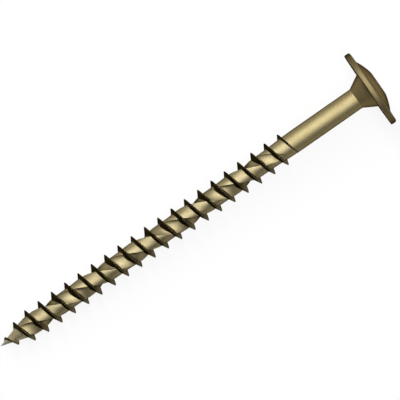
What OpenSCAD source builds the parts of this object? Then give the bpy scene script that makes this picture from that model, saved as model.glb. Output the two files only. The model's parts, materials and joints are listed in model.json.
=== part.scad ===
// Wafer head timber screw, one piece of steel, lying on its rim and thread as it comes to rest.
// The screw is drawn upright, point down at the origin and axis along Z, and then laid along X.
// Places along the axis are millimetres from the tip of the point.

/* [Head] */
// Diameter of the wafer flange
head_d = 22; // [19:0.5:26]
// Thickness of the flange at its rim
flange_t = 1.7; // [1.2:0.1:3]
// Radius on both edges of the rim
rim_r = 0.3; // [0.1:0.05:0.5]
// Diameter of the dome where it rises from the flange
dome_d = 16.1; // [12:0.1:17.5]
// Height of the crown above the flange
dome_h = 1.7; // [1.2:0.1:2.4]
// Diameter of the flat crown on the dome
crown_d = 6.9; // [6.8:0.1:9]

/* [Drive recess] */
// Diameter over the six lobes
drive_d = 6.75; // [6.2:0.05:6.75]
// Diameter inside the six ribs between the lobes
drive_inner_d = 4.85; // [4.5:0.05:5]
// Radius at the end of each lobe
lobe_r = 0.56; // [0.52:0.01:0.62]
// Depth of the lobed wall below the crown
drive_depth = 3.4; // [2:0.1:4]
// Depth of the cone at the bottom of the recess
drive_cone_h = 0.9; // [0.3:0.1:1.5]

/* [Shank] */
// Length from the tip of the point to the bearing face under the flange
length = 117.8; // [108:0.2:160]
// Diameter of the plain shank
shank_d = 5.9; // [5.5:0.05:6.6]
// Diameter of the neck where it meets the flange
neck_d = 10.15; // [8:0.05:12]
// Length of the neck, a cone between the shank and the flange
neck_len = 3.75; // [2:0.05:6]

/* [Thread] */
// Diameter over the crests of the thread
thread_d = 8.37; // [7.2:0.01:9]
// Advance of the thread in one turn
pitch = 4.265; // [3.6:0.005:5]
// Length from the tip of the point to the end of the thread
thread_len = 94; // [70:0.5:108]
// Width of the crest
crest_w = 0.06; // [0.04:0.02:0.3]
// Angle of the flank that faces the point, from square to the axis
point_flank = 28; // [20:1:32]
// Angle of the flank that faces the head, from square to the axis
head_flank = 11; // [8:1:25]
// Turn over which the thread sinks into the shank, in degrees
runout_turn = 200; // [120:10:300]

/* [Core] */
// Diameter of the core under the thread
core_d = 5.24; // [4.8:0.02:5.6]
// Distance across the two flats of the twisted core
core_flats = 3.82; // [3.4:0.02:4.6]
// Length in which the flats turn once round the core
twist_lead = 31.6; // [26:0.1:40]
// Place along the axis where a flat faces sideways
flat_place = 15.68; // [12:0.02:20]
// Height of the lip that stands up along one edge of each flat
lip_h = 0.17; // [0.05:0.01:0.3]
// Turn over which the lip falls back to the round core, in degrees
lip_turn = 45; // [20:1:45]
// Length over which the flats run out towards the shank
flats_runout = 11.5; // [5:0.1:15]
// Distance from the end of the flats to the end of the thread
flats_gap = 1.9; // [1:0.1:4]
// Length over which the core swells to the shank
swell_len = 12.2; // [4:0.1:16]
// Distance from the end of the thread to the plain shank
swell_gap = 2; // [1.2:0.1:4]

/* [Point] */
// Angle of the point, from side to side
point_angle = 34; // [28:1:40]
// Length over which the point rounds into the core
point_blend = 4.2; // [2:0.1:6]
// Place along the axis where the thread starts
thread_start = 0.76; // [0.6:0.02:1.2]
// Place round the axis where the thread starts, in degrees
thread_turn = 250; // [0:5:355]
// Place along the axis where the crests reach their full diameter
full_thread = 9.5; // [7:0.1:14]
// How strongly the line of crests bows out between the tip and the full thread
crest_bow = 1.45; // [1:0.05:2]

/* [Hidden] */
$fn = 96;

bronze = [0.62, 0.53, 0.34];
shank_r = shank_d / 2;
core_r = core_d / 2;
head_r = head_d / 2;
neck_start = length - neck_len;
dome_start = length + flange_t;
crown_place = dome_start + dome_h;

// The threaded bar is a skin of columns: each one crosses the ridge and the core above it.
columns_per_turn = 30;
column_angle = 360 / columns_per_turn;
column_rise = pitch / columns_per_turn;
last_column = floor((thread_len - thread_start) / column_rise);
thread_end = thread_start + last_column * column_rise;
fade_in_turn = 120;
least_height = 0.03;
last_band = 1;
points_per_column = 7;

// The bar stops inside the shank, and is a hair thinner so that the shank's end face closes round it.
shank_start = thread_end + swell_gap;
seat_step = 0.03;
seat_depth = 1;
bar_end = shank_start + seat_depth;

function share(x) = min(1, max(0, x));
function smooth(x) = let (u = share(x)) u * u * (3 - 2 * u);

// Radius of the round bar at a place: the pointed cone, the core and the swell to the shank.
function bar_radius(place) =
    let (
        slope = tan(point_angle / 2),
        blend_start = core_r / slope - point_blend / 2,
        into_blend = place - blend_start,
        swell = smooth((place - shank_start + swell_len) / swell_len)
    )
    into_blend < 0 ? slope * place
    : into_blend < point_blend ? slope * (place - into_blend * into_blend / (2 * point_blend))
    : core_r + (shank_r - seat_step - core_r) * swell;

// Distance of the flats from the axis: they are full along the core and run out before the shank.
function flat_distance(place) =
    let (runout = share((place - thread_end + flats_gap + flats_runout) / flats_runout))
    max(core_r, bar_radius(place)) - (core_r - core_flats / 2) * (1 - runout);

// Angle from the middle of the nearest flat, from -90 to 90 degrees.
function off_flat(angle, place) =
    let (turned = angle - 360 * (place - flat_place) / twist_lead + 90)
    turned - 180 * floor(turned / 180) - 90;

// The lip has its full height beside a flat of half depth or more, and goes when the flat goes.
function lip_height(place) =
    lip_h * share(2 * (bar_radius(place) - flat_distance(place)) / (core_r - core_flats / 2));

// Angles from the middle of a flat to its plain edge and to its edge with the lip.
function plain_edge(place) = -acos(share(flat_distance(place) / bar_radius(place)));
function lip_edge(place) = acos(share(flat_distance(place) / (bar_radius(place) + lip_height(place))));

// Radius of the twisted bar with its flats and lips.
widest_flat = 80;
function core_radius(angle, place) =
    let (
        off = off_flat(angle, place),
        lip = off > 0 ? lip_height(place) * (1 - smooth((off - lip_edge(place)) / lip_turn)) : 0,
        round_r = bar_radius(place) + lip
    )
    abs(off) < widest_flat ? min(round_r, flat_distance(place) / cos(off)) : round_r;

// Columns of the skin, counted from the start of the thread.
function column_turn(i) = thread_turn + i * column_angle;
function column_place(i) = thread_start + i * column_rise;

// Radius of the crest: it bows out of the point, keeps full height, and sinks into the shank.
function crest_radius(i) =
    let (
        place = column_place(i),
        full = thread_d / 2 * (1 - pow(1 - share(place / full_thread), crest_bow)),
        fade = share(i * column_angle / fade_in_turn) * share((last_column - i) * column_angle / runout_turn),
        round_r = bar_radius(place)
    )
    round_r + max(least_height, (full - round_r) * fade);

// Place where a flank that starts at the crest's edge runs into the core.
function root_place(angle, crest_r, edge, slope, place, tries) =
    tries == 0 ? place
    : let (nearer = edge + slope * (crest_r - core_radius(angle, place)))
    root_place(angle, crest_r, edge, slope, nearer, tries - 1);

root_tries = 6;
function point_root(i) =
    i > last_column ? column_place(last_column) + last_band * (i - last_column) / columns_per_turn
    : let (edge = column_place(i) - crest_w / 2)
    root_place(column_turn(i), crest_radius(i), edge, -tan(point_flank), edge, root_tries);
function head_root(i) =
    let (edge = column_place(i) + crest_w / 2)
    root_place(column_turn(i), crest_radius(i), edge, tan(head_flank), edge, root_tries);

// Share of the way from one ridge to the next at which a flat's edge crosses a column.
// Where no edge crosses it, the share drifts from the edge that has left to the one that comes.
crease_margin = 0.08;
crease_tries = 3;
function crease_share(i, low, high, guess, tries) =
    let (
        span = 360 * (high - low) / twist_lead,
        place = low + (high - low) * guess,
        off = off_flat(column_turn(i), low),
        ahead = [
            for (edge = [plain_edge(place), lip_edge(place)])
                off - edge - 180 * floor((off - edge) / 180)
        ],
        next = min(ahead),
        passed = 180 - max(ahead),
        crossing = next < span ? next / span : passed / (passed + next - span),
        inside = min(1 - crease_margin, max(crease_margin, crossing))
    )
    tries == 0 ? inside : crease_share(i, low, high, inside, tries - 1);

function on_bar(angle, place, r) = [r * cos(angle), r * sin(angle), place];
function on_core(angle, place) = on_bar(angle, place, core_radius(angle, place));

// One column: the flank from its root to the crest, the other flank, and the core up to the next ridge.
function column_points(i) =
    let (
        angle = column_turn(i),
        crest_r = crest_radius(i),
        low = head_root(i),
        high = point_root(i + columns_per_turn),
        crease = low + (high - low) * crease_share(i, low, high, 0.5, crease_tries)
    )
    [
        on_core(angle, point_root(i)),
        on_bar(angle, column_place(i) - crest_w / 2, crest_r),
        on_bar(angle, column_place(i) + crest_w / 2, crest_r),
        on_core(angle, low),
        on_core(angle, (low + crease) / 2),
        on_core(angle, crease),
        on_core(angle, (crease + high) / 2)
    ];

// Order of the points: all columns, the band that closes the last turn, the end ring, the tip.
band_first = points_per_column * (last_column + 1);
ring_first = band_first + columns_per_turn;
tip_vertex = ring_first + columns_per_turn;
first_of_last_turn = last_column - columns_per_turn;

function vertex(i, k) =
    k < points_per_column ? points_per_column * i + k
    : i + columns_per_turn <= last_column ? points_per_column * (i + columns_per_turn)
    : band_first + i + columns_per_turn - last_column - 1;
function ring_vertex(j) = ring_first + j % columns_per_turn;
function band_vertex(j) = vertex(first_of_last_turn + j, points_per_column);

bar_points = concat(
    [for (i = [0 : last_column]) each column_points(i)],
    [for (i = [last_column + 1 : last_column + columns_per_turn]) on_core(column_turn(i), point_root(i))],
    [for (j = [0 : columns_per_turn - 1])
        on_bar(column_turn(first_of_last_turn + j), bar_end, bar_radius(bar_end))],
    [[0, 0, 0]]
);

ridge_and_core_faces = [
    for (i = [0 : last_column - 1], k = [0 : points_per_column - 1])
        each [
            [vertex(i, k), vertex(i, k + 1), vertex(i + 1, k + 1)],
            [vertex(i, k), vertex(i + 1, k + 1), vertex(i + 1, k)]
        ]
];

point_faces = concat(
    [for (i = [0 : columns_per_turn - 2]) [tip_vertex, vertex(i, 0), vertex(i + 1, 0)]],
    [for (k = [0 : points_per_column - 1])
        [vertex(columns_per_turn - 1, 0), vertex(0, k + 1), vertex(0, k)]],
    [[vertex(columns_per_turn - 1, 0), vertex(0, 0), tip_vertex]]
);

seat_faces = concat(
    [for (k = [0 : points_per_column - 1])
        [band_vertex(1), vertex(last_column, k), vertex(last_column, k + 1)]],
    [[band_vertex(1), vertex(last_column, points_per_column), ring_vertex(0)],
     [band_vertex(1), ring_vertex(0), ring_vertex(1)]],
    [for (j = [1 : columns_per_turn - 1])
        each [
            [band_vertex(j), ring_vertex(j), ring_vertex(j + 1)],
            [band_vertex(j), ring_vertex(j + 1), band_vertex(j + 1)]
        ]],
    [[for (j = [columns_per_turn - 1 : -1 : 0]) ring_vertex(j)]]
);

// Point, twisted core and rolled thread, as far as the seat inside the shank.
module threaded_bar() {
    polyhedron(bar_points, concat(ridge_and_core_faces, point_faces, seat_faces));
}

module shank_and_neck() {
    translate([0, 0, shank_start])
        cylinder(h = length - shank_start, r = shank_r);
    translate([0, 0, neck_start])
        cylinder(h = neck_len, r1 = shank_r, r2 = neck_d / 2);
}

// Flange with a rounded rim.
module flange() {
    translate([0, 0, length])
        rotate_extrude() {
            square([head_r - rim_r, flange_t]);
            translate([0, rim_r])
                square([head_r, flange_t - 2 * rim_r]);
            for (level = [rim_r, flange_t - rim_r])
                translate([head_r - rim_r, level])
                    intersection() {
                        circle(rim_r);
                        translate([0, -rim_r])
                            square([rim_r, 2 * rim_r]);
                    }
        }
}

// Dome: a zone of the ball that passes through the dome's foot and the rim of the crown.
module dome() {
    foot_r = dome_d / 2;
    crown_r = crown_d / 2;
    ball_drop = (foot_r * foot_r - crown_r * crown_r - dome_h * dome_h) / (2 * dome_h);
    ball_r = sqrt(foot_r * foot_r + ball_drop * ball_drop);
    translate([0, 0, dome_start])
        intersection() {
            translate([0, 0, -ball_drop])
                sphere(ball_r);
            translate([0, 0, -flange_t / 2])
                cylinder(h = dome_h + flange_t / 2, r = foot_r);
        }
}

// Six lobes with a rib between each two, and a shallow cone below them.
// A rib's circle cuts a hair into the lobes on both sides of it, so that no sliver stays between them.
lobes = 6;
rib_overlap = 0.03;
overcut = 1;
module drive_recess() {
    lobe_turn = 360 / lobes;
    rib_turn = lobe_turn / 2;
    lobe_place = drive_d / 2 - lobe_r;
    rib_inner = drive_inner_d / 2;
    reach = lobe_r - rib_overlap;
    rib_r = (lobe_place * lobe_place - 2 * lobe_place * rib_inner * cos(rib_turn) + rib_inner * rib_inner
        - reach * reach) / (2 * (reach + lobe_place * cos(rib_turn) - rib_inner));
    rib_place = rib_inner + rib_r;
    side = [rib_place * cos(rib_turn) - lobe_place, rib_place * sin(rib_turn)];
    meeting = [lobe_place, 0] + side / norm(side) * (lobe_r - rib_overlap / 2);
    translate([0, 0, crown_place - drive_depth])
        linear_extrude(drive_depth + overcut)
            difference() {
                union() {
                    circle(norm(meeting));
                    for (i = [0 : lobes - 1])
                        rotate(i * lobe_turn)
                            translate([lobe_place, 0])
                                circle(lobe_r);
                }
                for (i = [0 : lobes - 1])
                    rotate(i * lobe_turn + rib_turn)
                        translate([rib_place, 0])
                            circle(rib_r);
            }
    translate([0, 0, crown_place - drive_depth - drive_cone_h])
        cylinder(h = drive_cone_h, r1 = 0, r2 = rib_inner);
}

module upright_screw() {
    difference() {
        union() {
            threaded_bar();
            shank_and_neck();
            flange();
            dome();
        }
        drive_recess();
    }
}

// The screw lies on the lower edge of its rim and on the first crest that comes down to the floor.
rim_center_r = head_r - rim_r;
rim_center_place = length + rim_r;
floor_turn = 270;
first_floor_column = (floor_turn - thread_turn) / column_angle;
function lean_on(place, r) =
    let (across = rim_center_r - r, along = rim_center_place - place)
    acos(-rim_r / norm([across, along])) - atan2(along, across);
lean = min([
    for (i = [first_floor_column + columns_per_turn : columns_per_turn : last_column / 2])
        lean_on(column_place(i), crest_radius(i))
]);
lift = rim_center_r * cos(lean) + rim_r - rim_center_place * sin(lean);
crown_reach = crown_place * cos(lean) + crown_d / 2 * sin(lean);

module screw() {
    color(bronze)
        translate([-crown_reach / 2, 0, lift])
            rotate([0, -lean, 0])
                rotate([90, 0, 90])
                    upright_screw();
}

screw();
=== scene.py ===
import json
import math
from collections import namedtuple

import bmesh
import bpy
from mathutils import Matrix, Vector


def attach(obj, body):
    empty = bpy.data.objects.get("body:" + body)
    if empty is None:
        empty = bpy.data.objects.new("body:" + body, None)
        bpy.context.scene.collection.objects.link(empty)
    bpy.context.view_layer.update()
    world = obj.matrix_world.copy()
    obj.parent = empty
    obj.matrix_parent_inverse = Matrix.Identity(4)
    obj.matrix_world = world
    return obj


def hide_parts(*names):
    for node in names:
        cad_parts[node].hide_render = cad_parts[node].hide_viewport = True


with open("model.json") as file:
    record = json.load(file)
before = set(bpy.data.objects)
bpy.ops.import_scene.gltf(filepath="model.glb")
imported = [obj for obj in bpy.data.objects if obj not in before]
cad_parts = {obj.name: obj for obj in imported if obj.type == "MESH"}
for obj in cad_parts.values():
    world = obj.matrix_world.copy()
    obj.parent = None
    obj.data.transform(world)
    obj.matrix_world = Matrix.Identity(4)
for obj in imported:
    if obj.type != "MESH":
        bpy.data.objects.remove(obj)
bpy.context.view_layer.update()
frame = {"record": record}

# Wafer head timber screw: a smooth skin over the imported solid, its bronze coat, a white table and a softbox.
# The screw is drawn along its own X axis, from the tip of its point, and then laid in the frame. Its lengths
# are in millimetres and its turns and angles in degrees.

MM = 0.001

# Head
HEAD_D = 22.0
FLANGE_T = 1.7
RIM_R = 0.3
RIM_TOP_R = 0.55
DOME_D = 16.1
DOME_H = 1.7
CROWN_D = 6.9
DOME_FOOT_R = 2.4

# Drive recess
LOBES = 6
DRIVE_D = 6.75
DRIVE_INNER_D = 4.85
LOBE_R = 0.56
DRIVE_DEPTH = 3.4
DRIVE_CONE_H = 0.9
DRIVE_EDGE = 0.06

# Shank and neck
LENGTH = 117.8
SHANK_D = 5.9
NECK_D = 10.15
NECK_LEN = 3.75
NECK_ROUND = 0.12

# Thread
THREAD_D = 8.37
PITCH = 4.265
THREAD_END = 93.8792
CREST_W = 0.02
POINT_FLANK = 28.0
HEAD_FLANK = 11.0
RUNOUT_TURN = 200.0
ROOT_ROUND = 0.1

# Twisted core
CORE_D = 5.24
CORE_FLATS = 3.82
TWIST_LEAD = 31.6
FLAT_PLACE = 15.68
LIP_H = 0.17
LIP_TURN = 45.0
LIP_FULL = 0.5
FLATS_RUNOUT = 11.5
FLATS_GAP = 1.9
FLATS_FADE = 0.25
SWELL_LEN = 12.2
SWELL_GAP = 2.0
WIDEST_FLAT = 80.0

# Hollow beside a flat's plain edge: its slope there and its bend make it about 0.1 mm deep
HOLLOW_SLOPE = 2.6
HOLLOW_BEND = 8

# Point
POINT_ANGLE = 34.0
POINT_BLEND = 4.2
TIP_END = 0.1
THREAD_START = 0.76
THREAD_TURN = 250.0
FULL_THREAD = 9.5
CREST_BOW = 1.45
FADE_IN_TURN = 120.0

# Fineness of the skin
COLUMNS_PER_TURN = 96
FLANK_ROWS = 6
CORE_ROWS = 28
ARC_STEPS = 6
DOME_STEPS = 14
DOME_FOOT_STEPS = 2
DRIVE_CONE_STEPS = 2
ROOT_TRIES = 6
CREASE_TRIES = 4
CREASE_MARGIN = 0.08
MERGE = 2e-4
SHARP_ANGLE = 35.0

# Worked out from the sizes above
CORE_R = CORE_D / 2
SHANK_R = SHANK_D / 2
HEAD_R = HEAD_D / 2
FULL_RIDGE = THREAD_D / 2 - CORE_R
FLAT_CUT = CORE_R - CORE_FLATS / 2
SHANK_START = THREAD_END + SWELL_GAP
NECK_START = LENGTH - NECK_LEN
DOME_START = LENGTH + FLANGE_T
CROWN_PLACE = DOME_START + DOME_H
COLUMN_TURN = 360.0 / COLUMNS_PER_TURN
COLUMN_RISE = PITCH / COLUMNS_PER_TURN

# What the coat is told of each point of the skin: its share of the ridge's full height, whether it is on a
# leading flank, which faces the point, how far into a flat's hollow it is, and whether it is on a worn edge
MARKS = ("ridge", "leading", "hollow", "wear")

# A point of the skin: its place along the axis, its angle and radius, and its marks
SkinPoint = namedtuple("SkinPoint", ("place", "angle", "radius") + MARKS, defaults=(0.0,) * len(MARKS))


def share(x):
    """The number, held between 0 and 1."""
    return min(1.0, max(0.0, x))


def smooth(x):
    """A step from 0 to 1 that eases in and out."""
    u = share(x)
    return u * u * (3 - 2 * u)


def bar_radius(place):
    """Radius of the round bar: the pointed cone, the core and the swell to the shank."""
    slope = math.tan(math.radians(POINT_ANGLE / 2))
    into_blend = place - (CORE_R / slope - POINT_BLEND / 2)
    if into_blend < 0:
        return slope * place
    if into_blend < POINT_BLEND:
        return slope * (place - into_blend * into_blend / (2 * POINT_BLEND))
    return CORE_R + (SHANK_R - CORE_R) * smooth((place - SHANK_START + SWELL_LEN) / SWELL_LEN)


def flat_distance(place):
    """Distance of the flats from the axis: they run out before the shank, and end in a point."""
    left = share((THREAD_END - FLATS_GAP - place) / FLATS_RUNOUT)
    return max(CORE_R, bar_radius(place)) - FLAT_CUT * left * share(left / FLATS_FADE)


def off_flat(angle, place):
    """Angle from the middle of the nearest flat, from -90 to 90 degrees."""
    return (angle - 360 * (place - FLAT_PLACE) / TWIST_LEAD + 90) % 180 - 90


def flat_edges(place):
    """Height of the lip, and the angles from a flat's middle to its plain edge and its lip edge."""
    bar = bar_radius(place)
    flat = flat_distance(place)
    if bar <= 0:
        return 0.0, 0.0, 0.0
    lip = LIP_H * share((bar - flat) / (LIP_FULL * FLAT_CUT))
    plain_edge = -math.degrees(math.acos(share(flat / bar)))
    lip_edge = math.degrees(math.acos(share(flat / (bar + lip))))
    return lip, plain_edge, lip_edge


def core_shape(angle, place):
    """Radius of the twisted bar, and its nearness to a flat's plain edge, where the flat is hollow."""
    off = off_flat(angle, place)
    lip, plain_edge, lip_edge = flat_edges(place)
    round_r = bar_radius(place)
    if off > 0:
        round_r += lip * (1 - smooth((off - lip_edge) / LIP_TURN))
    if abs(off) >= WIDEST_FLAT:
        return round_r, 0.0
    flat_r = flat_distance(place) / math.cos(math.radians(off))
    if flat_r >= round_r:
        return round_r, 0.0
    crossed = share((off - plain_edge) / (lip_edge - plain_edge))
    hollow = lip / LIP_H * (1 - crossed) ** HOLLOW_BEND
    return flat_r - HOLLOW_SLOPE * hollow * crossed, hollow


def crest_radius(place):
    """Radius of the crest: it bows out of the point, keeps its height and sinks into the shank."""
    bar = bar_radius(max(0.0, place))
    full = THREAD_D / 2 * (1 - (1 - share(place / FULL_THREAD)) ** CREST_BOW)
    turned_in = (place - THREAD_START) / PITCH * 360
    turned_out = (THREAD_END - place) / PITCH * 360
    return bar + (full - bar) * share(turned_in / FADE_IN_TURN) * share(turned_out / RUNOUT_TURN)


def ridge_radius(place, crest_place):
    """Radius of the ridge's flanks at a place beside its crest, as if the core weren't there."""
    beside = place - crest_place
    flank = POINT_FLANK if beside < 0 else HEAD_FLANK
    drop = max(0.0, abs(beside) - CREST_W / 2) / math.tan(math.radians(flank))
    return crest_radius(crest_place) - drop


def joined(core, ridge, crest):
    """Radius of the skin: the core or the ridge on it, with a small round in the corner between them."""
    rounding = ROOT_ROUND * share((crest - core) / (2 * ROOT_ROUND))
    if rounding <= 0:
        return core
    overlap = max(0.0, rounding - abs(core - ridge)) / rounding
    return max(core, ridge) + overlap * overlap * rounding / 4


def root_place(angle, crest_place, side):
    """Place where a flank runs into the core, on the point's side (-1) or the head's side (1)."""
    flank = POINT_FLANK if side < 0 else HEAD_FLANK
    slope = side * math.tan(math.radians(flank))
    edge = crest_place + side * CREST_W / 2
    place = edge
    for _ in range(ROOT_TRIES):
        core, _ = core_shape(angle, max(0.0, place))
        rise = max(0.0, crest_radius(crest_place) - core)
        place = edge + slope * rise
    return place


def crease_share(angle, low, high):
    """Share of the way from one ridge to the next at which the edge of a flat crosses."""
    span = 360 * (high - low) / TWIST_LEAD
    crossing = 0.5
    for _ in range(CREASE_TRIES):
        _, plain_edge, lip_edge = flat_edges(max(0.0, low + (high - low) * crossing))
        off = off_flat(angle, low)
        ahead = [(off - edge) % 180 for edge in (plain_edge, lip_edge)]
        coming = min(ahead)
        passed = 180 - max(ahead)
        crossing = coming / span if coming < span else passed / (passed + coming - span)
        crossing = min(1 - CREASE_MARGIN, max(CREASE_MARGIN, crossing))
    return crossing


def spread(start, stop, count):
    """Places from start up to, but not at, stop."""
    return [start + (stop - start) * k / count for k in range(count)]


def eased(start, stop, count):
    """Places from start up to, but not at, stop, closer together at both ends."""
    return [start + (stop - start) * smooth(k / count) for k in range(count)]


def column(i):
    """Points of the skin from one crest up to the next, at one angle."""
    angle = THREAD_TURN + i * COLUMN_TURN
    crest = THREAD_START + i * COLUMN_RISE
    above = crest + PITCH
    low = root_place(angle, crest, 1)
    high = root_place(angle, above, -1)
    crease = low + (high - low) * crease_share(angle, low, high)
    first_rows = round(CORE_ROWS / 2)
    places = [crest]
    places += spread(crest + CREST_W / 2, low, FLANK_ROWS)
    places += eased(low, crease, first_rows)
    places += eased(crease, high, CORE_ROWS - first_rows)
    places += spread(high, above - CREST_W / 2, FLANK_ROWS)
    places += [above - CREST_W / 2, above]
    points = []
    for place in places:
        leading = 1.0 if place > crease else 0.0
        nearest = above if leading else crest
        ridge = ridge_radius(place, nearest)
        place = min(SHANK_START, max(0.0, place))
        if place < TIP_END:
            points.append(SkinPoint(0.0, angle, 0.0))
            continue
        core, hollow = core_shape(angle, place)
        skin = joined(core, ridge, crest_radius(nearest))
        ridge_share = share((ridge - core) / FULL_RIDGE)
        points.append(SkinPoint(place, angle, skin, ridge_share, leading, hollow))
    return points


def rounded(corners):
    """An outline through corners (place, radius, rounding, wear), with an arc at each rounding."""
    outline = []
    for k, (x, r, rounding, wear) in enumerate(corners):
        if not rounding:
            outline.append((x, r, wear))
            continue
        here = Vector((x, r))
        back = (Vector(corners[k - 1][:2]) - here).normalized()
        on = (Vector(corners[k + 1][:2]) - here).normalized()
        half = back.angle(on) / 2
        reach = rounding / math.tan(half)
        center = here + (back + on).normalized() * rounding / math.sin(half)
        start = here + back * reach - center
        stop = here + on * reach - center
        first = math.atan2(start.y, start.x)
        sweep = (math.atan2(stop.y, stop.x) - first + math.pi) % (2 * math.pi) - math.pi
        for step in range(ARC_STEPS + 1):
            turn = first + sweep * step / ARC_STEPS
            outline.append((center.x + rounding * math.cos(turn), center.y + rounding * math.sin(turn), wear))
    return outline


def dome_outline():
    """Arc of the ball that passes through the dome's foot and the rim of the crown."""
    foot = DOME_D / 2
    crown = CROWN_D / 2
    drop = (foot * foot - crown * crown - DOME_H * DOME_H) / (2 * DOME_H)
    ball = math.hypot(foot, drop)
    start = math.atan2(drop, foot)
    stop = math.atan2(drop + DOME_H, crown)
    turns = [start + (stop - start) * k / DOME_STEPS for k in range(DOME_STEPS + 1)]
    return [(DOME_START - drop + ball * math.sin(t), ball * math.cos(t)) for t in turns]


def head_outline():
    """Outline of the shank, neck, flange and dome, from the end of the threaded bar to the crown's rim."""
    corners = [
        (SHANK_START, SHANK_R, 0, 0),
        (NECK_START - 2 * NECK_ROUND, SHANK_R, 0, 0),
        (NECK_START, SHANK_R, NECK_ROUND, 0),
        (LENGTH, NECK_D / 2, NECK_ROUND, 0),
        (LENGTH, HEAD_R, RIM_R, 1),
        (DOME_START, HEAD_R, RIM_TOP_R, 1),
        (DOME_START, DOME_D / 2, DOME_FOOT_R, 0),
    ]
    corners += [(x, r, 0, 0) for x, r in dome_outline()[DOME_FOOT_STEPS:]]
    return rounded(corners)


def lobe_outline():
    """Points round the six lobes of the drive, (angle, radius), evenly spaced along its outline."""
    lobe_place = DRIVE_D / 2 - LOBE_R
    rib_inner = DRIVE_INNER_D / 2
    half = math.pi / LOBES
    apart = lobe_place * lobe_place - 2 * lobe_place * rib_inner * math.cos(half) + rib_inner * rib_inner
    rib_r = (apart - LOBE_R * LOBE_R) / (2 * (LOBE_R + lobe_place * math.cos(half) - rib_inner))
    rib_place = rib_inner + rib_r
    lobe = Vector((lobe_place, 0))
    rib = Vector((rib_place * math.cos(half), rib_place * math.sin(half)))
    toward_rib = math.atan2(rib.y - lobe.y, rib.x - lobe.x)
    lobe_len = toward_rib * LOBE_R
    half_len = lobe_len + (toward_rib - half) * rib_r
    per_lobe = COLUMNS_PER_TURN // LOBES
    points = []
    for i in range(COLUMNS_PER_TURN):
        turn = 2 * half * (i // per_lobe)
        run = (i % per_lobe) / per_lobe * 2 * half_len
        mirrored = run > half_len
        if mirrored:
            run = 2 * half_len - run
        if run < lobe_len:
            spot = lobe + LOBE_R * Vector((math.cos(run / LOBE_R), math.sin(run / LOBE_R)))
        else:
            facing = toward_rib + math.pi - (run - lobe_len) / rib_r
            spot = rib + rib_r * Vector((math.cos(facing), math.sin(facing)))
        angle = math.atan2(spot.y, spot.x)
        if mirrored:
            angle = 2 * half - angle
        points.append((math.degrees(turn + angle), spot.length))
    return points


def head_rings():
    """Rings of the head, from the end of the threaded bar to the bottom of the drive."""
    angles = [THREAD_TURN + j * COLUMN_TURN for j in range(COLUMNS_PER_TURN)]
    rings = [[SkinPoint(x, angle, r, wear=wear) for angle in angles] for x, r, wear in head_outline()]
    lobes = [(THREAD_TURN + angle, r) for angle, r in lobe_outline()]
    floor = CROWN_PLACE - DRIVE_DEPTH
    walls = [
        (CROWN_PLACE, DRIVE_EDGE),
        (CROWN_PLACE - DRIVE_EDGE, 0.0),
        (CROWN_PLACE - DRIVE_DEPTH / 2, 0.0),
        (floor + DRIVE_EDGE, 0.0),
        (floor, -DRIVE_EDGE),
    ]
    for place, wider in walls:
        rings.append([SkinPoint(place, angle, r + wider) for angle, r in lobes])
    inner = DRIVE_INNER_D / 2 - DRIVE_EDGE
    for step in range(DRIVE_CONE_STEPS + 1):
        down = step / DRIVE_CONE_STEPS
        place = floor - DRIVE_CONE_H * down
        rings.append([SkinPoint(place, angle, inner * (1 - down)) for angle, _ in lobes])
    return rings


def add_grid(points, faces, rows, closed):
    """Adds a grid of points and the quads between neighbouring rows."""
    first = len(points)
    count = len(rows[0])
    for row in rows:
        points.extend(row)
    for i in range(len(rows) - 1):
        for k in range(count if closed else count - 1):
            after = (k + 1) % count
            a = first + i * count
            b = a + count
            faces.append((a + k, b + k, b + after, a + after))


def own_place(point):
    """A skin point in the screw's own axes, in millimetres."""
    turn = math.radians(point.angle)
    return Vector((point.place, point.radius * math.cos(turn), point.radius * math.sin(turn)))


def screw_mesh():
    """One skin: the threaded bar wound up as a strip of columns, and the rings of the head."""
    points = []
    faces = []
    first = -COLUMNS_PER_TURN - math.ceil(THREAD_START / COLUMN_RISE)
    last = math.ceil((SHANK_START - THREAD_START) / COLUMN_RISE)
    add_grid(points, faces, [column(i) for i in range(first, last + 1)], False)
    add_grid(points, faces, head_rings(), True)
    mesh = bpy.data.meshes.new("screw_skin")
    places = [own_place(point) for point in points]
    mesh.from_pydata([place * MM for place in places], [], faces)
    for name in MARKS:
        layer = mesh.attributes.new(name, "FLOAT", "POINT")
        layer.data.foreach_set("value", [getattr(point, name) for point in points])
    layer = mesh.attributes.new("own_mm", "FLOAT_VECTOR", "POINT")
    layer.data.foreach_set("vector", [length for place in places for length in place])
    return mesh


def close_skin(mesh):
    """Welds the seams of the skin and turns its faces outward."""
    work = bmesh.new()
    work.from_mesh(mesh)
    bmesh.ops.remove_doubles(work, verts=work.verts, dist=MERGE * MM)
    bmesh.ops.dissolve_degenerate(work, edges=work.edges, dist=MERGE * MM)
    loose = [edge for edge in work.edges if not edge.link_faces]
    bmesh.ops.delete(work, geom=loose, context="EDGES")
    bmesh.ops.recalc_face_normals(work, faces=work.faces)
    for face in work.faces:
        face.smooth = True
    work.to_mesh(mesh)
    work.free()
    mesh.set_sharp_from_angle(angle=math.radians(SHARP_ANGLE))


# The screw's own axes in the frame
mounts = {mount["name"]: mount for mount in frame["record"]["mounts"]}
tip = Vector(mounts["thread"]["pos_m"])
along = -Vector(mounts["thread"]["axis"]).normalized()
across = Vector((0, 1, 0))
upward = along.cross(across)


def laid(x, y, z):
    """A point of the screw in the frame: millimetres along, across and above its axis."""
    return tip + (along * x + across * y + upward * z) * MM


def turned(x_axis, y_axis, z_axis, place):
    """The matrix that puts an object at a place with these axes."""
    return Matrix.Translation(place) @ Matrix((x_axis, y_axis, z_axis)).transposed().to_4x4()


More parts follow.
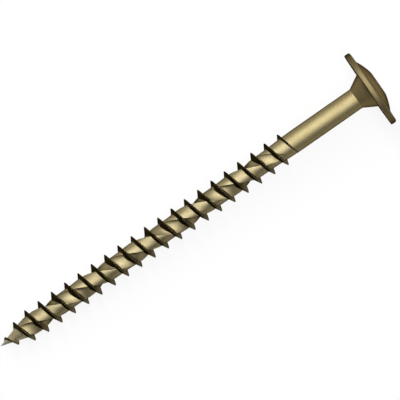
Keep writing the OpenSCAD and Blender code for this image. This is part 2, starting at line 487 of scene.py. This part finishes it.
def make_screw():
    """The screw as one closed skin, laid in the frame."""
    mesh = screw_mesh()
    close_skin(mesh)
    mesh.transform(turned(along, across, upward, tip))
    screw = bpy.data.objects.new("wafer_head_screw", mesh)
    bpy.context.scene.collection.objects.link(screw)
    return screw


class Wire:
    """An output socket; sums, differences and products of wires become Math nodes."""

    def __init__(self, finish, socket):
        self.finish = finish
        self.socket = socket

    def output(self, name):
        """Another output of the same node."""
        return Wire(self.finish, self.socket.node.outputs[name])

    def maths(self, operation, first, second):
        """A Math node on two wires or numbers."""
        terms = {"Value": first, "Value_001": second}
        return self.finish.node("ShaderNodeMath", {"operation": operation}, terms)

    def __add__(self, other):
        return self.maths("ADD", self, other)

    def __sub__(self, other):
        return self.maths("SUBTRACT", self, other)

    def __rsub__(self, other):
        return self.maths("SUBTRACT", other, self)

    def __mul__(self, other):
        return self.maths("MULTIPLY", self, other)

    __radd__ = __add__
    __rmul__ = __mul__


# Noise runs from 0 to 1, and this is its middle
NOISE_MIDDLE = 0.5


class Finish:
    """A procedural material, made node by node."""

    def __init__(self, name):
        self.material = bpy.data.materials.new(name)
        self.material.use_nodes = True
        self.tree = self.material.node_tree
        self.tree.nodes.clear()

    def node(self, kind, settings=None, inputs=None, output=None):
        """A node of any kind: its settings first, then the values or wires of its sockets."""
        node = self.tree.nodes.new(kind)
        for name, value in (settings or {}).items():
            setattr(node, name, value)
        sockets = {socket.identifier: socket for socket in node.inputs}
        for name, value in (inputs or {}).items():
            if isinstance(value, Wire):
                self.tree.links.new(value.socket, sockets[name])
            else:
                sockets[name].default_value = value
        outputs = {socket.identifier: socket for socket in node.outputs}
        if output:
            return Wire(self, outputs[output])
        return Wire(self, node.outputs[0]) if outputs else None

    def attribute(self, name, output="Fac"):
        """A layer of the mesh."""
        return self.node("ShaderNodeAttribute", {"attribute_name": name}, None, output)

    def ramp(self, value, start, stop):
        """A smooth mask: 0 before start, 1 after stop."""
        return self.node("ShaderNodeMapRange", {"interpolation_type": "SMOOTHSTEP"},
                         {"Value": value, "From Min": start, "From Max": stop})

    def noise(self, place, waves, detail):
        """Noise round 0, with so many waves to the millimetre along X, Y and Z."""
        stretched = self.node("ShaderNodeVectorMath", {"operation": "MULTIPLY"},
                              {"Vector": place, "Vector_001": waves})
        field = {"Vector": stretched, "Scale": 1.0, "Detail": detail}
        return self.node("ShaderNodeTexNoise", None, field, "Fac") - NOISE_MIDDLE

    def blend(self, factor, first, second):
        """A colour between two colours or colour wires."""
        return self.node("ShaderNodeMix", {"data_type": "RGBA"},
                         {"Factor_Float": factor, "A_Color": first, "B_Color": second}, "Result_Color")

    def surface(self, shader):
        """The finished material, with this shader on its surface."""
        self.node("ShaderNodeOutputMaterial", None, {"Surface": shader})
        return self.material


# Colours of the coat
OLIVE_BRONZE = (0.64, 0.57, 0.335, 1)
BROWN_BRONZE = (0.66, 0.565, 0.33, 1)
PALE_BRONZE = (0.71, 0.65, 0.465, 1)
HEAD_BRONZE = (0.66, 0.53, 0.28, 1)
# Pale bronze of worn edges and of the painted highlight ring
WEAR_AND_HIGHLIGHT_BRONZE = (0.75, 0.66, 0.38, 1)
# Dark brown of the patina specks, and of the painted shade and the darker rim
PATINA_AND_SHADE = (0.095, 0.074, 0.035, 1)
BARE_STEEL = (0.7, 0.675, 0.6, 1)

# Tinted film over the metal: light that leaves at a slant runs through more of it
FILM_TINT = (0.65, 0.625, 0.565, 1)
FILM_IOR = 1.0

# Tint of the metal where it is seen at a slant
EDGE_SHEEN = (0.35, 0.35, 0.35, 1)

# Clouds, specks and lines: waves to the millimetre along the axis and across it, and how fine they get
CLOUD_WAVES = (0.3, 0.4, 0.4)
SPECK_WAVES = (2.2, 2.2, 2.2)
DRAWN_WAVES = (0.1, 3.0, 3.0)
ROLLED_WAVES = (3.0, 0.4, 0.4)
CLOUD_DETAIL = 3.0
FINE_DETAIL = 2.0

# How far lines sway the browning and clouds sway the specks, and the noise over which both come in
LINE_SWAY = 0.3
CLOUD_SWAY = 0.4
BROWN_FADE = (-0.2, 0.2)
SPECK_FADE = (0.05, 0.35)

# Where the coat changes: over shares of the ridge's height, or over millimetres from the tip
FLANK_FADE = (0.0, 0.17)
CREST_FADE = (0.92, 1.0)
BARE_TIP_FADE = (0.8, 3.2)
# Painted light: where the lightened point fades out
POINT_LIGHT_FADE = (4.0, 9.0)

# Painted highlight, a bright ring round the shank: where it starts, is full and ends, before the neck
NECK_HIGHLIGHT_START = 0.4
NECK_HIGHLIGHT_FULL = 0.25
NECK_HIGHLIGHT_END = 0.05

# How much each part differs from the plain coat
CORE_PALE = 0.4
HEAD_BROWN = 0.8
# Painted shade: how far the leading flanks, which face the point and away from the lamp, are darkened
LEADING_FLANK_SHADE = 0.97
# Painted shade: how far the hollow beside each flat's plain edge, along the crease, is darkened
HOLLOW_SHADE = 0.5
# Painted shade: how far the neck under the head is darkened
NECK_SHADE = 0.3
# How far the flange's rim is darkened
RIM_DARKENING = 0.65
SPECK_PATINA = 0.25
CREST_WEAR = 0.1
EDGE_WEAR = 0.2
# Painted highlight: how far the ring before the neck is lightened towards pale bronze
NECK_HIGHLIGHT_PAINT = 0.5
TRAILING_RUB = 0.15
# Painted light: how far the film is thinned on the point, which lightens its cone
POINT_PAINTED_LIGHT = 0.6
DOME_RUB = 0.06

# Gloss and fine relief
COAT_ROUGHNESS = 0.6
CORE_BURNISH = 0.03
CLOUD_ROUGHNESS = 0.1
SPECK_ROUGHNESS = 0.08
LINE_ROUGHNESS = 0.05
BUMP_HEIGHT = 0.008
BUMP_STRENGTH = 0.5

# Masks from 0 to 1, which say what a spot of the coat is on
Zones = namedtuple("Zones", "shank die_line head flange dome flank leading crest hollow edge tip point")


def coat_zones(coat, own):
    """What each spot is on, from its place in the screw's own axes and the marks of the skin."""
    place = coat.node("ShaderNodeSeparateXYZ", None, {"Vector": own}, "X")
    ridge = coat.attribute("ridge")
    flank = coat.ramp(ridge, *FLANK_FADE)
    # Painted highlight: a ring just before the neck
    neck_highlight_in = coat.ramp(place, NECK_START - NECK_HIGHLIGHT_START, NECK_START - NECK_HIGHLIGHT_FULL)
    neck_highlight_out = coat.ramp(place, NECK_START - NECK_HIGHLIGHT_END, NECK_START)
    return Zones(
        shank=coat.ramp(place, SHANK_START - SWELL_LEN / 2, SHANK_START),
        die_line=neck_highlight_in - neck_highlight_out,
        head=coat.ramp(place, NECK_START - NECK_ROUND, NECK_START + NECK_ROUND),
        flange=coat.ramp(place, LENGTH, LENGTH + RIM_R),
        dome=coat.ramp(place, DOME_START - RIM_TOP_R, DOME_START),
        flank=flank,
        leading=coat.attribute("leading"),
        crest=coat.ramp(ridge, *CREST_FADE),
        hollow=coat.attribute("hollow"),
        edge=coat.attribute("wear"),
        tip=(1 - coat.ramp(place, *BARE_TIP_FADE)) * (1 - flank),
        # The point, which is lightened as painted light
        point=(1 - coat.ramp(place, *POINT_LIGHT_FADE)) * (1 - flank),
    )


def coat_colour(coat, on, clouds, specks, lines):
    """Clouded bronze, paler on the core and browner on the head, with patina specks, worn edges, a bare tip, a
    darker rim, painted shade on the leading flanks, beside the flats' plain edges and on the neck, and a
    painted highlight ring before the neck.
    """
    browned = coat.ramp(clouds + lines * LINE_SWAY, *BROWN_FADE)
    speck_patina = coat.ramp(specks + clouds * CLOUD_SWAY, *SPECK_FADE) * SPECK_PATINA
    # Painted shade on the neck under the head, and a darker rim on the flange
    neck_shade_and_dark_rim = (on.head - on.flange) * NECK_SHADE + (on.flange - on.dome) * RIM_DARKENING
    # Worn crests and rim edges, and the painted highlight ring before the neck, lighten the colour
    wear_and_highlight = on.crest * CREST_WEAR + on.edge * EDGE_WEAR + on.die_line * NECK_HIGHLIGHT_PAINT
    colour = coat.blend(browned, OLIVE_BRONZE, BROWN_BRONZE)
    colour = coat.blend((1 - on.shank) * CORE_PALE, colour, PALE_BRONZE)
    colour = coat.blend(on.head * HEAD_BROWN, colour, HEAD_BRONZE)
    colour = coat.blend(speck_patina, colour, PATINA_AND_SHADE)
    # Painted shade beside the flats' plain edges and on the neck, and a darker rim on the flange
    colour = coat.blend(neck_shade_and_dark_rim + on.hollow * HOLLOW_SHADE, colour, PATINA_AND_SHADE)
    # Painted shade: the leading flanks darkened towards dark brown
    colour = coat.blend(on.flank * on.leading * LEADING_FLANK_SHADE, colour, PATINA_AND_SHADE)
    colour = coat.blend(wear_and_highlight, colour, WEAR_AND_HIGHLIGHT_BRONZE)
    return coat.blend(on.tip, colour, BARE_STEEL)


def bronze_coat():
    """Waxed bronze coat on steel: satin, clouded and finely marked, under a film that is rubbed in places and
    thinned on the point as painted light.
    """
    coat = Finish("waxed_bronze")
    own = coat.attribute("own_mm", "Vector")
    on = coat_zones(coat, own)
    clouds = coat.noise(own, CLOUD_WAVES, CLOUD_DETAIL)
    specks = coat.noise(own, SPECK_WAVES, FINE_DETAIL)
    drawn_lines = coat.noise(own, DRAWN_WAVES, FINE_DETAIL)
    rolled_lines = coat.noise(own, ROLLED_WAVES, FINE_DETAIL)
    plain_shank = on.shank - on.head
    lines = drawn_lines * plain_shank + rolled_lines * (1 - plain_shank)

    uneven = clouds * CLOUD_ROUGHNESS + specks * SPECK_ROUGHNESS + lines * LINE_ROUGHNESS
    roughness = uneven + COAT_ROUGHNESS - (1 - on.shank) * CORE_BURNISH
    # Film thinned on the trailing flanks and the dome, and on the point as painted light
    rub_and_point_light = on.flank * (1 - on.leading) * TRAILING_RUB + on.point * POINT_PAINTED_LIGHT + on.dome * DOME_RUB
    bumps = coat.node("ShaderNodeBump", None, {
        "Strength": BUMP_STRENGTH,
        "Distance": BUMP_HEIGHT * MM,
        "Height": specks + lines,
    })
    return coat.surface(coat.node("ShaderNodeBsdfPrincipled", None, {
        "Base Color": coat_colour(coat, on, clouds, specks, lines),
        "Metallic": 1.0,
        "Roughness": roughness,
        "Specular Tint": EDGE_SHEEN,
        "Coat Weight": 1 - rub_and_point_light,
        "Coat IOR": FILM_IOR,
        "Coat Roughness": COAT_ROUGHNESS,
        "Coat Tint": FILM_TINT,
        "Normal": bumps,
    }))


# White of the table: the share that the lamp lights, and the rest, which only eyes and reflections see
PAPER = (0.12, 0.12, 0.12, 1)
PAPER_GLOW = 0.88


def white_paper():
    """White to the eye and in reflections, with the screw's soft shadow on it."""
    table = Finish("white_paper")
    path = table.node("ShaderNodeLightPath")
    seen = path.output("Is Camera Ray") + path.output("Is Glossy Ray") + path.output("Is Transmission Ray")
    paper = table.node("ShaderNodeBsdfDiffuse", None, {"Color": PAPER})
    glow = table.node("ShaderNodeEmission", None, {"Strength": PAPER_GLOW})
    bright = table.node("ShaderNodeAddShader", None, {"Shader": paper, "Shader_001": glow})
    return table.surface(table.node("ShaderNodeMixShader", None,
                                    {"Fac": seen, "Shader": paper, "Shader_001": bright}))


# Camera: it looks down on the screw, square to its axis, which rises to the right of the picture
LENS = 1200.0
SENSOR = 36.0
PICTURE_PIXELS = 400
PIXELS_PER_MM = 3.8
PICTURE_W = PICTURE_PIXELS / PIXELS_PER_MM
PICTURE_RISE = 34.861
VIEW_ALONG = 65.115
VIEW_ACROSS = 1.586
VIEW_CENTER = laid(VIEW_ALONG, VIEW_ACROSS, 0.0)

# Softbox: over the screw, leaning towards the head and across the axis, in metres and watts
SOFTBOX_DISTANCE = 0.6
SOFTBOX_ALONG = 0.15
SOFTBOX_ACROSS = 0.335
SOFTBOX_LENGTH = 0.16
SOFTBOX_WIDTH = 1.055
SOFTBOX_POWER = 5.6

# Table, in metres, and the dim studio round it
TABLE_SIZE = 4.0
STUDIO_GREY = (0.04, 0.04, 0.04, 1)


def make_camera():
    """A long lens over the screw, with the photograph's frame."""
    data = bpy.data.cameras.new("camera")
    data.lens = LENS
    data.sensor_width = SENSOR
    distance = PICTURE_W * MM * LENS / SENSOR
    data.clip_end = 2 * distance
    camera = bpy.data.objects.new("camera", data)
    bpy.context.scene.collection.objects.link(camera)
    rise = math.radians(PICTURE_RISE)
    right = along * math.cos(rise) - across * math.sin(rise)
    up = along * math.sin(rise) + across * math.cos(rise)
    camera.matrix_world = turned(right, up, upward, VIEW_CENTER + upward * distance)
    bpy.context.scene.camera = camera


def make_softbox():
    """The one lamp, which the camera doesn't see."""
    data = bpy.data.lights.new("softbox", "AREA")
    data.shape = "RECTANGLE"
    data.size = SOFTBOX_LENGTH
    data.size_y = SOFTBOX_WIDTH
    data.energy = SOFTBOX_POWER
    lamp = bpy.data.objects.new("softbox", data)
    bpy.context.scene.collection.objects.link(lamp)
    back = (upward + along * SOFTBOX_ALONG + across * SOFTBOX_ACROSS).normalized()
    side = (along - back * along.dot(back)).normalized()
    lamp.matrix_world = turned(side, back.cross(side), back, VIEW_CENTER + back * SOFTBOX_DISTANCE)
    lamp.visible_camera = False


def make_table():
    """The table that the screw lies on."""
    bpy.ops.mesh.primitive_plane_add(size=TABLE_SIZE, location=(0, 0, 0))
    table = bpy.context.object
    table.name = "table"
    table.data.materials.append(white_paper())


def make_studio():
    """The dim light from all round."""
    world = bpy.data.worlds.new("studio")
    world.use_nodes = True
    world.node_tree.nodes["Background"].inputs["Color"].default_value = STUDIO_GREY
    bpy.context.scene.world = world


make_camera()
screw = make_screw()
screw.data.materials.append(bronze_coat())
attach(screw, "root")
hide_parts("screw")
make_table()
make_studio()
make_softbox()

bpy.context.scene.view_settings.view_transform = "Standard"
